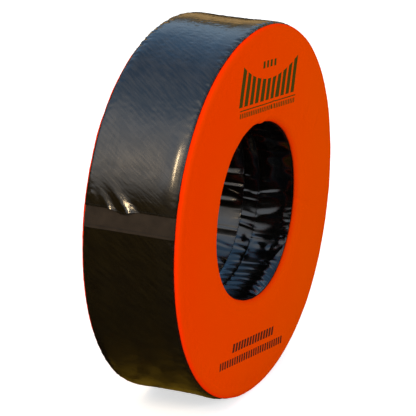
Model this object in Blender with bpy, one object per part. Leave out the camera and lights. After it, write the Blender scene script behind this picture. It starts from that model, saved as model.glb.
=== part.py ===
"""Foam tackle wheel: a cut-and-sewn vinyl cover over a glued foam core.

The wheel stands on its tread. +Z is up, the axle line runs along Y and the front face looks
along -Y. The origin lies on the ground, under the middle of the wheel. A clock angle is
measured round the axle from the top of the wheel towards +X, and all lengths are in metres.
"""
import math

import bmesh
import bpy
from mathutils import Vector

# Sizes of the whole wheel
WHEEL_DIAMETER = 1.200
WHEEL_WIDTH = 0.332
BORE_DIAMETER = 0.600
RIM_ROUNDING = 0.019
LIP_ROUNDING = 0.020
CONTACT_LENGTH = 0.120

# Thicknesses of sheet, tape and foam, and the gap kept between two touching pieces
VINYL = 0.0010
LOOP_TAPE = 0.0015
HOOK_TAPE = 0.0012
RIM_WRAP = 0.021
BORE_HOOP = 0.024
FIT_GAP = 0.0003

# Foam discs glued side by side
SLAB_COUNT = 3

# Closure across the tread: a loop tape sewn to one end of the band, and a flap over it
TAPE_CLOCK = math.radians(279.6)
TREAD_TAPE_WIDTH = 0.100
TAPE_SHOWING = 0.062
FLAP_LENGTH = 0.130
BAND_END_MARGIN = 0.008
FLAP_HEM = 0.002
CLOSURE_DIP = 0.003
DIP_RUN = 0.022

# Closure round the bore: the front panel's edge laps over the back panel
BORE_TAPE_WIDTH = 0.050
BORE_LAP_MARGIN = 0.003
BORE_LAP_RAMP = 0.017

# Facets: stations round the wheel, and steps along each rounded edge
STATION_COUNT = 60
ARC_STEPS = 3

WHEEL_RADIUS = WHEEL_DIAMETER / 2
BORE_RADIUS = BORE_DIAMETER / 2
HALF_WIDTH = WHEEL_WIDTH / 2
TURN = 2 * math.pi
SKIN = VINYL + FIT_GAP

# The tread is pressed flat over CONTACT_LENGTH, so the axle sits lower by this much
CONTACT_SINK = WHEEL_RADIUS - math.sqrt(WHEEL_RADIUS ** 2 - (CONTACT_LENGTH / 2) ** 2)
AXLE = Vector((0, 0, WHEEL_RADIUS - CONTACT_SINK))
AXLE_LINE = Vector((0, 1, 0))
BOTTOM_CLOCK = math.pi
CONTACT_ANGLE = math.asin(CONTACT_LENGTH / 2 / WHEEL_RADIUS)

# Foam core, from the cover inwards
WRAP_OUTER = WHEEL_RADIUS - SKIN
WRAP_INNER = WRAP_OUTER - RIM_WRAP
HOOP_INNER = BORE_RADIUS + SKIN
HOOP_OUTER = HOOP_INNER + BORE_HOOP
CORE_HALF = HALF_WIDTH - SKIN

# Clock angles of the tread closure, each one further up the wheel than the one before
DIP_FOOT = TAPE_CLOCK - (DIP_RUN + FLAP_HEM) / WHEEL_RADIUS
DIP_FLOOR = TAPE_CLOCK - FLAP_HEM / WHEEL_RADIUS
FLAP_EDGE = TAPE_CLOCK + TAPE_SHOWING / WHEEL_RADIUS
HOOK_EDGE = FLAP_EDGE + FLAP_HEM / WHEEL_RADIUS
TAPE_TOP = TAPE_CLOCK + TREAD_TAPE_WIDTH / WHEEL_RADIUS
BAND_END = TAPE_TOP + BAND_END_MARGIN / WHEEL_RADIUS
DIP_TOP = BAND_END + DIP_RUN / 2 / WHEEL_RADIUS
FLAP_ROOT = FLAP_EDGE + FLAP_LENGTH / WHEEL_RADIUS
ROOT_GAP = FIT_GAP / WHEEL_RADIUS

# Radii of the layers of the tread closure
TAPE_BASE = WHEEL_RADIUS - CLOSURE_DIP + FIT_GAP
HOOK_BASE = TAPE_BASE + LOOP_TAPE + FIT_GAP
FLAP_BASE = HOOK_BASE + HOOK_TAPE + FIT_GAP
FLAP_LIFT = FLAP_BASE + VINYL - WHEEL_RADIUS

# Radii of the layers of the bore closure, which stand proud of the bore towards the axle
BORE_LOOP_OUTER = BORE_RADIUS - FIT_GAP
BORE_HOOK_OUTER = BORE_LOOP_OUTER - LOOP_TAPE - FIT_GAP
BORE_LAP_OUTER = BORE_HOOK_OUTER - HOOK_TAPE - FIT_GAP
BORE_LAP_INNER = BORE_LAP_OUTER - VINYL
BORE_TAPE_HALF = BORE_TAPE_WIDTH / 2
BORE_LAP_EDGE = BORE_TAPE_HALF + BORE_LAP_MARGIN

MERGE = FIT_GAP / 100


def clear_scene():
    for obj in list(bpy.data.objects):
        bpy.data.objects.remove(obj, do_unlink=True)


def finish(name, colour, roughness):
    """A material of one colour, given as linear red, green and blue."""
    material = bpy.data.materials.new(name)
    material.use_nodes = True
    shader = material.node_tree.nodes["Principled BSDF"]
    shader.inputs["Base Color"].default_value = (*colour, 1)
    shader.inputs["Roughness"].default_value = roughness
    shader.inputs["Metallic"].default_value = 0
    return material


def between(value, steps):
    """Reads a broken line of (position, height) steps at one position."""
    low, high = steps[0], steps[-1]
    if value <= low[0]:
        return low[1]
    for low, high in zip(steps, steps[1:]):
        if value <= high[0]:
            share = (value - low[0]) / (high[0] - low[0])
            return low[1] + share * (high[1] - low[1])
    return high[1]


def stations(start, stop):
    """Clock angles from start to stop. Every ring uses the same ones, so that layers nest."""
    step = TURN / STATION_COUNT
    keys = [DIP_FOOT, DIP_FLOOR, TAPE_CLOCK, FLAP_EDGE, HOOK_EDGE, TAPE_TOP, BAND_END, DIP_TOP,
            FLAP_ROOT, FLAP_ROOT + ROOT_GAP, BOTTOM_CLOCK - CONTACT_ANGLE, BOTTOM_CLOCK,
            BOTTOM_CLOCK + CONTACT_ANGLE]
    grid = [n * step for n in range(STATION_COUNT)]
    kept = [a for a in grid if min(abs(a - key) for key in keys) > step / 3]
    once = sorted(kept + keys)
    twice = once + [a + TURN for a in once]
    inner = [a for a in twice if start + MERGE < a < stop - MERGE]
    return [start, *inner, stop]


def arc(radius, depth, size, first, last):
    """Points (radius, depth) on a rounded edge. The angle is 0 away from the axle."""
    found = []
    for n in range(ARC_STEPS + 1):
        angle = first + (last - first) * n / ARC_STEPS
        found.append((radius + size * math.cos(angle), depth + size * math.sin(angle)))
    return found


def dip(clock):
    """How far the foam and the band's end are pressed in under the tread closure."""
    steps = [(DIP_FOOT, 0), (DIP_FLOOR, CLOSURE_DIP), (BAND_END, CLOSURE_DIP), (DIP_TOP, 0)]
    return between(clock, steps)


def bedded(point):
    """Presses a point of the rim in under the closure, and flat where the wheel stands."""
    radius = math.hypot(point.x, point.z)
    clock = math.atan2(point.x, point.z) % TURN
    soft = between(radius, [(WRAP_INNER, 0), ((WRAP_INNER + WRAP_OUTER) / 2, 1)])
    on_tread = abs(point.y) <= HALF_WIDTH - RIM_ROUNDING + MERGE
    radius -= dip(clock) * soft * on_tread
    floor = radius - CONTACT_SINK * soft
    height = max(radius * math.cos(clock), -floor)
    return Vector((radius * math.sin(clock), point.y, height))


def panel_bedded(point):
    """As bedded, for a face panel, which isn't pressed in under the closure."""
    radius = math.hypot(point.x, point.z)
    soft = between(radius, [(WRAP_INNER, 0), ((WRAP_INNER + WRAP_OUTER) / 2, 1)])
    return Vector((point.x, point.y, max(point.z, -(radius - CONTACT_SINK * soft))))


def lifted(point):
    """Carries a point of the flap over the tapes, from the wheel's own radius at its root."""
    radius = math.hypot(point.x, point.z)
    clock = math.atan2(point.x, point.z) % TURN
    radius += between(clock, [(TAPE_TOP, FLAP_LIFT), (FLAP_ROOT, 0)])
    return Vector((radius * math.sin(clock), point.y, radius * math.cos(clock)))


def turned(name, outline, material, start=0, stop=TURN, shape=None):
    """Turns an outline of (radius, depth) points round the axle into a ring or part of one."""
    bm = bmesh.new()
    clocks = stations(start, stop)
    first = [bm.verts.new((r * math.sin(start), y, r * math.cos(start))) for r, y in outline]
    pairs = zip(first, first[1:] + first[:1])
    edges = [bm.edges.new(pair) for pair in pairs]
    swept = first + edges
    for low, high in zip(clocks, clocks[1:]):
        spun = bmesh.ops.spin(bm, geom=swept, cent=(0, 0, 0), axis=AXLE_LINE,
                              angle=high - low, steps=1, use_duplicate=False)
        swept = spun["geom_last"]
    if stop - start < TURN:
        bm.faces.new(first)
        last = [item for item in swept if isinstance(item, bmesh.types.BMEdge)]
        bmesh.ops.edgeloop_fill(bm, edges=last)
    else:
        bmesh.ops.remove_doubles(bm, verts=bm.verts, dist=MERGE)
    if shape:
        for vert in bm.verts:
            vert.co = shape(vert.co)
    bmesh.ops.recalc_face_normals(bm, faces=bm.faces)
    mesh = bpy.data.meshes.new(name)
    bm.to_mesh(mesh)
    bm.free()
    mesh.materials.append(material)
    mesh.shade_smooth()
    mesh.set_sharp_from_angle(angle=math.radians(35))
    obj = bpy.data.objects.new(name, mesh)
    obj.location = AXLE
    bpy.context.scene.collection.objects.link(obj)
    return obj


def face_panel(name, side, material):
    """A vinyl ring that covers one face, rolls over the rim and turns into the bore."""
    rim = (WHEEL_RADIUS - RIM_ROUNDING, side * (HALF_WIDTH - RIM_ROUNDING))
    lip = (BORE_RADIUS + LIP_ROUNDING, side * (HALF_WIDTH - LIP_ROUNDING))
    out = side * math.pi / 2
    outline = arc(*rim, RIM_ROUNDING, 0, out)
    outline += arc(*lip, LIP_ROUNDING, out, 2 * out)
    outline += arc(*lip, LIP_ROUNDING - VINYL, 2 * out, out)
    outline += arc(*rim, RIM_ROUNDING - VINYL, out, 0)
    return turned(name, outline, material, shape=panel_bedded)


def tread_band(material):
    """The band round the tread. Its lower end runs under the closure's tape and flap."""
    half = HALF_WIDTH - RIM_ROUNDING - FIT_GAP
    outline = strip(WHEEL_RADIUS - VINYL, WHEEL_RADIUS, -half, half)
    return turned("tread_band", outline, material, FLAP_ROOT + ROOT_GAP, BAND_END + TURN, bedded)


def strip(inner, outer, low, high):
    """A flat outline between two radii and two depths."""
    return [(inner, low), (outer, low), (outer, high), (inner, high)]


def tread_closure(vinyl, loop, hook):
    """The loop tape on the band's end, and the flap with the hook tape sewn under its edge."""
    half = HALF_WIDTH - RIM_ROUNDING - FIT_GAP
    tape = strip(TAPE_BASE, TAPE_BASE + LOOP_TAPE, -half, half)
    turned("tread_loop_tape", tape, loop, TAPE_CLOCK, TAPE_TOP)
    hooks = strip(HOOK_BASE, HOOK_BASE + HOOK_TAPE, -half, half)
    hook_tape = turned("flap_hook_tape", hooks, hook, HOOK_EDGE, TAPE_TOP)
    sheet = strip(WHEEL_RADIUS - VINYL, WHEEL_RADIUS, -half, half)
    flap = turned("tread_flap", sheet, vinyl, FLAP_EDGE, FLAP_ROOT, lifted)
    hinge = bpy.data.objects.new("flap_hinge", None)
    root = Vector((math.sin(FLAP_ROOT), 0, math.cos(FLAP_ROOT))) * WHEEL_RADIUS
    hinge.location = AXLE + root
    bpy.context.scene.collection.objects.link(hinge)
    for moving in (flap, hook_tape):
        moving.parent = hinge
        moving.location = -root


def bore_closure(vinyl, loop, hook):
    """Two bore panels. The front one laps over the back one, with a tape pair between."""
    seam = HALF_WIDTH - LIP_ROUNDING - FIT_GAP
    back = strip(BORE_RADIUS, BORE_RADIUS + VINYL, -BORE_LAP_EDGE, seam)
    turned("bore_panel_back", back, vinyl)
    loops = strip(BORE_LOOP_OUTER - LOOP_TAPE, BORE_LOOP_OUTER, -BORE_TAPE_HALF, BORE_TAPE_HALF)
    turned("bore_loop_tape", loops, loop)
    hooks = strip(BORE_HOOK_OUTER - HOOK_TAPE, BORE_HOOK_OUTER, -BORE_TAPE_HALF, BORE_TAPE_HALF)
    turned("bore_hook_tape", hooks, hook)
    crest = -BORE_LAP_EDGE - BORE_LAP_MARGIN
    foot = crest - BORE_LAP_RAMP
    visible = [(BORE_RADIUS, -seam), (BORE_RADIUS, foot), (BORE_LAP_INNER, crest),
               (BORE_LAP_INNER, BORE_LAP_EDGE)]
    hidden = [(radius + VINYL, depth) for radius, depth in reversed(visible)]
    turned("bore_panel_front", visible + hidden, vinyl)


def foam_core(soft, firm):
    """Foam discs side by side, a soft wrap glued round the rim and a firm hoop in the bore."""
    pitch = 2 * CORE_HALF / SLAB_COUNT
    names = ["foam_slab_front"] + ["foam_slab_middle"] * (SLAB_COUNT - 2) + ["foam_slab_back"]
    for n, name in enumerate(names):
        low = -CORE_HALF + n * pitch + (FIT_GAP / 2 if n else 0)
        high = -CORE_HALF + (n + 1) * pitch - (FIT_GAP / 2 if n < SLAB_COUNT - 1 else 0)
        turned(name, strip(HOOP_OUTER + FIT_GAP, WRAP_INNER - FIT_GAP, low, high), soft)
    rim = WHEEL_RADIUS - RIM_ROUNDING
    rim_depth = HALF_WIDTH - RIM_ROUNDING
    quarter = math.pi / 2
    wrap = [(WRAP_INNER, CORE_HALF), (WRAP_INNER, -CORE_HALF)]
    wrap += arc(rim, -rim_depth, RIM_ROUNDING - SKIN, -quarter, 0)
    wrap += arc(rim, rim_depth, RIM_ROUNDING - SKIN, 0, quarter)
    turned("foam_rim_wrap", wrap, soft, shape=bedded)
    lip = BORE_RADIUS + LIP_ROUNDING
    lip_depth = HALF_WIDTH - LIP_ROUNDING
    hoop = [(HOOP_OUTER, -CORE_HALF), (HOOP_OUTER, CORE_HALF)]
    hoop += arc(lip, lip_depth, LIP_ROUNDING - SKIN, quarter, 2 * quarter)
    hoop += arc(lip, -lip_depth, LIP_ROUNDING - SKIN, 2 * quarter, 3 * quarter)
    turned("foam_bore_hoop", hoop, firm)


def main():
    clear_scene()
    orange_vinyl = finish("orange_vinyl", (0.73, 0.055, 0.002), 0.45)
    black_vinyl = finish("black_vinyl", (0.012, 0.012, 0.013), 0.25)
    loop_tape = finish("loop_tape", (0.034, 0.028, 0.026), 0.95)
    hook_tape = finish("hook_tape", (0.015, 0.015, 0.016), 0.7)
    soft_foam = finish("soft_foam", (0.55, 0.56, 0.52), 0.95)
    firm_foam = finish("firm_foam", (0.20, 0.21, 0.22), 0.9)
    face_panel("front_face_panel", -1, orange_vinyl)
    face_panel("back_face_panel", 1, orange_vinyl)
    tread_band(black_vinyl)
    tread_closure(black_vinyl, loop_tape, hook_tape)
    bore_closure(black_vinyl, loop_tape, hook_tape)
    foam_core(soft_foam, firm_foam)


main()
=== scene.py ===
# %% [markdown]
# # Dressing a foam tackle wheel
# The wheel is a thick ring of foam inside a sewn cover. Two orange faces, a black band round the
# tread and two black linings in the hole are sewn edge to edge, and hook-and-loop tape closes
# the band and the linings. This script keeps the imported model's sizes, joint and pieces, and
# gives each piece the folds, seams and finish of the real one.

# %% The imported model
import math

import bmesh
import bpy
import numpy as np
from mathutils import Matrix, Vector


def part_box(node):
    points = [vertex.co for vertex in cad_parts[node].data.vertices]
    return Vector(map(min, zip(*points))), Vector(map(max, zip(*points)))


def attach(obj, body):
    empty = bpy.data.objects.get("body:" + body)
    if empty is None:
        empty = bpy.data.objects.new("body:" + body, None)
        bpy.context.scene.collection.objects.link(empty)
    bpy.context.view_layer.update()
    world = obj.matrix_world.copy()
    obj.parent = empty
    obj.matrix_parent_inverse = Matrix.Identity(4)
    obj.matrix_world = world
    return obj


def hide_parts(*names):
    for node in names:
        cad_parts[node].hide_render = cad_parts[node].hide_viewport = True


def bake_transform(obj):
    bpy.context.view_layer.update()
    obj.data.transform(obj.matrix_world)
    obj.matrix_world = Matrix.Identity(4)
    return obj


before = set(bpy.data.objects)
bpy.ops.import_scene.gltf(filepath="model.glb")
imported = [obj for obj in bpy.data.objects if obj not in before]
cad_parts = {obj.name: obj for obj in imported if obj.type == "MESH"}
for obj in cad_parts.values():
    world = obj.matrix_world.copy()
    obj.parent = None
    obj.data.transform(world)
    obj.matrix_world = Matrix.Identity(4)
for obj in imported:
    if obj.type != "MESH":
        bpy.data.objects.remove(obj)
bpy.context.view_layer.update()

# %% [markdown]
# ## Sizes
# Nothing is measured twice: radii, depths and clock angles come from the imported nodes. A clock
# angle runs round the axle from the top of the wheel towards +X, so a point on the wheel is a
# clock angle, a radius and a depth. That suits a turned object better than X, Y and Z.

# %% Reading a node in clock angles, radii and depths
TURN = math.tau
AXLE_Z = sum(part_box("foam_slab_middle"), Vector()).z / 2


def node_points(node):
    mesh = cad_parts[node].data
    flat = np.empty(len(mesh.vertices) * 3)
    mesh.vertices.foreach_get("co", flat)
    return flat.reshape(-1, 3)


def polar(points):
    """Clock angle, radius and depth of each point."""
    x, y, z = np.moveaxis(points, -1, 0)
    z = z - AXLE_Z
    return np.arctan2(x, z) % TURN, np.hypot(x, z), y


def measured(node):
    """Lowest and highest clock angle, radius and depth of a node's points."""
    return [(float(v.min()), float(v.max())) for v in polar(node_points(node))]


BAND = measured("tread_band")
TAPE = measured("tread_loop_tape")
FLAP = measured("tread_flap")
HOOKS = measured("flap_hook_tape")
LAP = measured("bore_panel_front")
LINING = measured("bore_panel_back")
BORE_LOOPS = measured("bore_loop_tape")
BORE_HOOKS = measured("bore_hook_tape")

RIM = BAND[1][1]
BORE = LINING[1][0]
HALF = -measured("front_face_panel")[2][0]
SEAM = BAND[2][1]
LIP_SEAM = LINING[2][1]
ROUNDING = HALF - SEAM
LIP = HALF - LIP_SEAM
LAP_RADIUS = LAP[1][0]
LAP_EDGE = LAP[2][1]
LAP_STITCH = LAP_EDGE - 0.0015
CORE_OUTER = measured("foam_rim_wrap")[1][1]
CORE_INNER = measured("foam_bore_hoop")[1][0]
WRAP_INNER = measured("foam_rim_wrap")[1][0]
ROOT = FLAP[0][1]
SINK = RIM - AXLE_Z
VINYL = 0.001
print(f"rim {RIM:.3f}, bore {BORE:.3f}, half width {HALF:.3f}, sunk {SINK * 1000:.1f} mm")

# %% [markdown]
# ## Camera
# The wheel was photographed from about eight metres with a long lens. The place, the lens and
# the small shift come from matching the outlines of both rims and of the hole.

# %% The camera
PHOTO_SIDE = 416
FOCAL_PX = 2594.9
CENTRE_OFF_PX = (4.99, -3.37)
AZIMUTH = math.radians(-65.2)
ELEVATION = math.radians(19.58)
DISTANCE = 13.735 * RIM

scene = bpy.context.scene
lens = bpy.data.cameras.new("camera")
lens.sensor_width = 36
lens.lens = FOCAL_PX / PHOTO_SIDE * lens.sensor_width
lens.shift_x = -CENTRE_OFF_PX[0] / PHOTO_SIDE
lens.shift_y = CENTRE_OFF_PX[1] / PHOTO_SIDE
lens.clip_end = 200
camera = bpy.data.objects.new("camera", lens)
scene.collection.objects.link(camera)
back = Vector((
    math.sin(AZIMUTH) * math.cos(ELEVATION),
    -math.cos(AZIMUTH) * math.cos(ELEVATION),
    math.sin(ELEVATION),
))
camera.location = Vector((0, 0, AXLE_Z)) + back * DISTANCE
camera.rotation_mode = "QUATERNION"
camera.rotation_quaternion = (-back).to_track_quat("-Z", "Y")
scene.camera = camera
scene.view_settings.view_transform = "Standard"
print(f"camera {DISTANCE:.2f} m away, lens {lens.lens:.0f} mm")

# %% [markdown]
# ## Laying cloth round the axle
# Every piece of the cover is a strip with a path across it, from one seam to the other, swept
# round the axle. A plain grid of points does that: one row for each clock angle, one column for
# each step along the path. Folds then push the points along the cloth's normals, which keeps
# every fold on the surface where it belongs.
#
# The real wheel isn't a perfect circle. Soft foam that stands on its rim settles a little, and
# the hole is slightly oval. A few slow waves round the wheel hold that.

# %% The wheel's slow waves
# Shares of the radius, for waves that go round the wheel 2, 3 or 4 times: (cosine, sine).
RIM_WAVE_SHARES = {3: (-0.0042, 0.0017), 4: (-0.0069, -0.0018)}
HOLE_WAVE_SHARES = {2: (-0.0349, -0.0272), 3: (-0.0004, 0.0049), 4: (-0.0048, -0.0097)}


def wave(clock, shares):
    return sum(a * np.cos(k * clock) + b * np.sin(k * clock) for k, (a, b) in shares.items())


def placed(clock, radius, depth):
    """Points in space. The foam has settled a little, and is flat where it stands."""
    clock, radius, depth = np.broadcast_arrays(clock, radius, depth)
    share = np.clip((radius - BORE) / (RIM - BORE), 0, 1)
    uneven = share * wave(clock, RIM_WAVE_SHARES) + (1 - share) * wave(clock, HOLE_WAVE_SHARES)
    r = radius * (1 + uneven)
    soft = np.clip((radius - WRAP_INNER) / (RIM - WRAP_INNER), 0, 1)
    z = np.maximum(r * np.cos(clock), -(radius - SINK * soft))
    return np.stack([r * np.sin(clock), depth, z + AXLE_Z], axis=-1)


off_round = RIM * abs(wave(np.linspace(0, TURN, 90), RIM_WAVE_SHARES)).max()
print(f"rim off round by {off_round * 1000:.1f} mm")

# %% [markdown]
# A grid needs few columns where cloth lies flat and many beside a seam. The loose columns are
# the ones that the cloth simulation moves. The drawn ones add the fine steps of a groove.

# %% Rows round the wheel and columns across a cloth
ROUND_STEPS = 900
FULL_CLOCK = np.arange(ROUND_STEPS)[:, None] * TURN / ROUND_STEPS
LOOSE_CLOCK = FULL_CLOCK[::2]
BESIDE_SEAM = (0.0011, 0.0024, 0.0042)
OVER_ROLL = (*BESIDE_SEAM, 0.0075, 0.011, 0.0145, 0.018, 0.0215, 0.025, 0.0285, 0.032)


def columns(seams, coarse, close=BESIDE_SEAM):
    """Distances across a cloth between its seams: the loose columns, and all the drawn ones."""
    spans = zip(seams, seams[1:])
    loose = np.unique(np.round(np.concatenate(
        [np.linspace(a, b, max(3, round((b - a) / coarse) + 1)) for a, b in spans]), 5))
    fine = np.array([s + side * d for s in seams for d in close for side in (-1, 1)])
    fine = fine[(fine > seams[0]) & (fine < seams[-1])]
    apart = np.abs(fine[:, None] - loose).min(axis=1) > 0.0006
    return loose, np.unique(np.round(np.concatenate([loose, fine[apart]]), 5))


print(ROUND_STEPS, "rows round the wheel, one each", round(TURN * RIM / ROUND_STEPS * 1000, 1), "mm")

# %% [markdown]
# A path is the cloth's section: points of radius and depth, straight or bent round a roll. The
# normals come from the grid itself, as the cross product of its steps round and across, so they
# stay right on cloth that is already wrinkled.

# %% Paths and normals
def path_length(path):
    return float(np.linalg.norm(np.diff(np.array(path), axis=0), axis=1).sum())


def along(path, distances):
    """Radius and depth at each distance along a path of (radius, depth) points."""
    path = np.array(path)
    gone = np.concatenate([[0], np.cumsum(np.linalg.norm(np.diff(path, axis=0), axis=1))])
    return np.interp(distances, gone, path[:, 0]), np.interp(distances, gone, path[:, 1])


def bend(radius, depth, size, first, last, count=40):
    """A rounded stretch of a path, size its reach in radius and in depth. 0 is away from the axle."""
    angles = np.linspace(first, last, count)
    return [(radius + size[0] * math.cos(a), depth + size[1] * math.sin(a)) for a in angles]


def normals_of(points, ring, like):
    """Unit normals of a grid, on the side on which like lies, a direction for each point."""
    if ring:
        du = np.roll(points, -1, axis=0) - np.roll(points, 1, axis=0)
    else:
        du = np.gradient(points, axis=0)
    n = np.cross(du, np.gradient(points, axis=1))
    n /= np.linalg.norm(n, axis=-1, keepdims=True) + 1e-12
    return n * np.sign((n * like).sum())


def outward(points):
    """Away from the axle, for cloth on the tread."""
    return points * (1, 0, 1) - (0, 0, AXLE_Z)


def inward(points):
    """Towards the axle, for cloth in the hole."""
    return -outward(points)


small_bend = bend(0, 0, (0.010, 0.010), 0, math.pi / 2)
print(f"a quarter turn of 10 mm radius is {path_length(small_bend) * 1000:.1f} mm long")

# %% [markdown]
# A grid of points becomes a mesh of four-sided faces. A ring's last row joins its first one, and
# a strip of faces along each cut edge joins the cloth's two skins.

# %% Faces of a grid
def mesh_of(name, points, faces, material):
    mesh = bpy.data.meshes.new(name)
    mesh.from_pydata(np.asarray(points).reshape(-1, 3).tolist(), [], np.asarray(faces).tolist())
    mesh.materials.append(material)
    piece = bpy.data.objects.new(name, mesh)
    scene.collection.objects.link(piece)
    return piece


def grid_faces(n, m, ring):
    """Quads of a grid, and the row and column of each one's first corner."""
    rows = np.arange(n if ring else n - 1)
    i, j = (v.ravel() for v in np.meshgrid(rows, np.arange(m - 1), indexing="ij"))
    k = (i + 1) % n
    return np.stack([i * m + j, k * m + j, k * m + j + 1, i * m + j + 1], axis=1), i, j


def edge_faces(n, m, ring):
    """Quads that close the gap between the two skins."""
    rows = np.arange(n if ring else n - 1)
    pairs = [(rows * m + side, (rows + 1) % n * m + side) for side in (0, m - 1)]
    if not ring:
        across = np.arange(m - 1)
        pairs += [(end * m + across, end * m + across + 1) for end in (0, n - 1)]
    return np.concatenate([np.stack([a, b, b + n * m, a + n * m], axis=1) for a, b in pairs])


print("a ring of 4 rows and 3 columns has", len(grid_faces(4, 3, True)[0]), "faces on each skin")

# %% [markdown]
# A grid becomes a real sheet here: an outer and an inner skin a millimetre apart, closed at its
# edges. The inner faces run the other way round, so that both skins look outward. The edges are
# marked sharp so that they look cut, and the map holds metres of cloth, so that a weave has its
# true size on every piece.

# %% From a grid to a piece of cloth
def sheet_of(name, points, normals, thickness, ring, material, across, round_metres):
    """A closed sheet from a grid, with a map of metres round and metres across."""
    n, m = points.shape[:2]
    top, i, j = grid_faces(n, m, ring)
    closing = edge_faces(n, m, ring)
    faces = np.concatenate([top, top[:, ::-1] + n * m, closing])
    skins = np.concatenate([points.reshape(-1, 3), (points - normals * thickness).reshape(-1, 3)])
    piece = mesh_of(name, skins, faces, material)
    mesh = piece.data
    u = np.stack([i, i + 1, i + 1, i], axis=1) * (round_metres / (n if ring else n - 1))
    v = across[np.stack([j, j, j + 1, j + 1], axis=1)]
    uv = np.stack([u, v], axis=-1)
    uv = np.concatenate([uv, uv[:, ::-1], np.zeros((len(closing), 4, 2))])
    mesh.uv_layers.new(name="cloth").data.foreach_set("uv", uv.reshape(-1))
    fix = bmesh.new()
    fix.from_mesh(mesh)
    bmesh.ops.recalc_face_normals(fix, faces=fix.faces)
    fix.to_mesh(mesh)
    fix.free()
    mesh.shade_smooth()
    mark_cut_edges(mesh, n, m, ring)
    return piece


def mark_cut_edges(mesh, n, m, ring):
    ends = np.empty(len(mesh.edges) * 2, dtype=int)
    mesh.edges.foreach_get("vertices", ends)
    ends = ends.reshape(-1, 2) % (n * m)
    column, row = ends % m, ends // m
    cut = (column[:, 0] == column[:, 1]) & np.isin(column[:, 0], (0, m - 1))
    if not ring:
        cut |= (row[:, 0] == row[:, 1]) & np.isin(row[:, 0], (0, n - 1))
    mesh.attributes.new("sharp_edge", "BOOLEAN", "EDGE").data.foreach_set("value", cut)


print("a vinyl sheet is", VINYL * 1000, "mm thick")

# %% [markdown]
# ## Finishes
# Each finish is named for the real stuff. Colours are written as sRGB hex, as a colour picker
# shows them, and one function turns them into the linear values that a shader needs. One more
# function adds a node with its settings and its links.

# %% Colour and node helpers
def linear(hex_colour):
    """Linear red, green, blue and alpha of an sRGB colour such as "#ff8800"."""
    parts = [int(hex_colour[n:n + 2], 16) / 255 for n in (1, 3, 5)]
    return (*[c / 12.92 if c <= 0.04045 else ((c + 0.055) / 1.055) ** 2.4 for c in parts], 1)


def add(tree, kind, values=(), output=0, stops=(), **settings):
    """Adds a node and gives back one output. values go to inputs by name or number, or in order."""
    made = tree.nodes.new("ShaderNode" + kind)
    for key, value in settings.items():
        setattr(made, key, value)
    for key, value in values.items() if isinstance(values, dict) else enumerate(values):
        if isinstance(value, bpy.types.NodeSocket):
            tree.links.new(value, made.inputs[key])
        else:
            made.inputs[key].default_value = value
    if stops:
        colour_stops(made.color_ramp.elements, stops)
    return made.outputs[output]


def colour_stops(elements, stops):
    """Gives a ramp its colours, as (position, hex colour) pairs."""
    while len(elements) < len(stops):
        elements.new(0.5)
    for element, (position, colour) in zip(elements, stops):
        element.position = position
        element.color = linear(colour)


def finish(name, roughness, ior=1.5, specular=0.5):
    """A new material, its tree and its shader, which is a plain dielectric."""
    material = bpy.data.materials.new(name)
    material.use_nodes = True
    shader = material.node_tree.nodes["Principled BSDF"]
    shader.inputs["Metallic"].default_value = 0
    shader.inputs["Roughness"].default_value = roughness
    shader.inputs["IOR"].default_value = ior
    shader.inputs["Specular IOR Level"].default_value = specular
    return material, material.node_tree, shader


def surface(tree, shader, sockets):
    """Links what was made to the shader's own inputs."""
    for name, socket in sockets.items():
        tree.links.new(socket, shader.inputs[name])


print("a mid grey #808080 is", round(linear("#808080")[0], 3), "in linear light")

# %% [markdown]
# ### PVC-coated cloth, black and glossy
# The tread is polyester scrim, coated with soft PVC and pressed against a polished roller. The
# eye gets a near-black body colour under a clear gloss, in which the crossing threads of the
# scrim show as fine slanted lines. The real threads are about 1 mm apart, which a small picture
# can't show, so they are drawn 7 mm apart. Wear has clouded the gloss in patches a hand wide,
# and the embossed grain of the roller is under 1 mm, drawn at 4 mm.

# %% Black PVC-coated cloth, its threads and grain
SCRIM_PITCH = 0.007
THREAD_RUN = 10
SCRIM_ANGLE = math.radians(36)
EMBOSSING = 0.0038462
CLOUD = 0.11111
SMEAR = 0.09091
PVC_IOR = 1.55

black_pvc, tree, shader = finish("black_pvc_coated_cloth", 0.2, PVC_IOR)
cloth_map = add(tree, "UVMap", uv_map="cloth")
turned = add(tree, "Mapping", {"Vector": cloth_map, "Rotation": (0, 0, SCRIM_ANGLE)})
stretch = add(tree, "Mapping", {
    "Vector": turned, "Scale": (1 / SCRIM_PITCH, 1 / (THREAD_RUN * SCRIM_PITCH), 1)})
threads = add(tree, "TexNoise", {"Vector": stretch, "Scale": 1, "Detail": 2})
grain = add(tree, "TexNoise", {"Vector": cloth_map, "Scale": 1 / EMBOSSING, "Detail": 3})
cloudy = add(tree, "TexNoise", {"Vector": cloth_map, "Scale": 1 / CLOUD, "Detail": 3})
smears = add(tree, "TexNoise", {"Vector": cloth_map, "Scale": 1 / SMEAR, "Detail": 5,
                                "Roughness": 0.6, "Distortion": 1.6})
print("threads drawn", SCRIM_PITCH * 1000, "mm apart")

# %% [markdown]
# The black is warmed to brown, which is a painted reflection of the dry field. Dust lies along
# the threads and in smears where hands have closed the flap, and the smears fade towards the top.
# The dust begins above the closure and grows higher up, so the tread below it stays dark: that
# is painted shade.

# %% Dust, painted shade and a painted reflection on the black cloth
# No dust below the foot keeps the lower tread dark: painted shade.
DUST_AND_SHADE_FOOT, DUST_AND_SHADE_FULL = AXLE_Z + 0.36 * RIM, AXLE_Z + 0.46 * RIM
HANDS_LOW, HANDS_HIGH = AXLE_Z + 0.5 * RIM, AXLE_Z + 0.8 * RIM

# The brown in this near-black is a painted reflection of the dry field.
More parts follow.
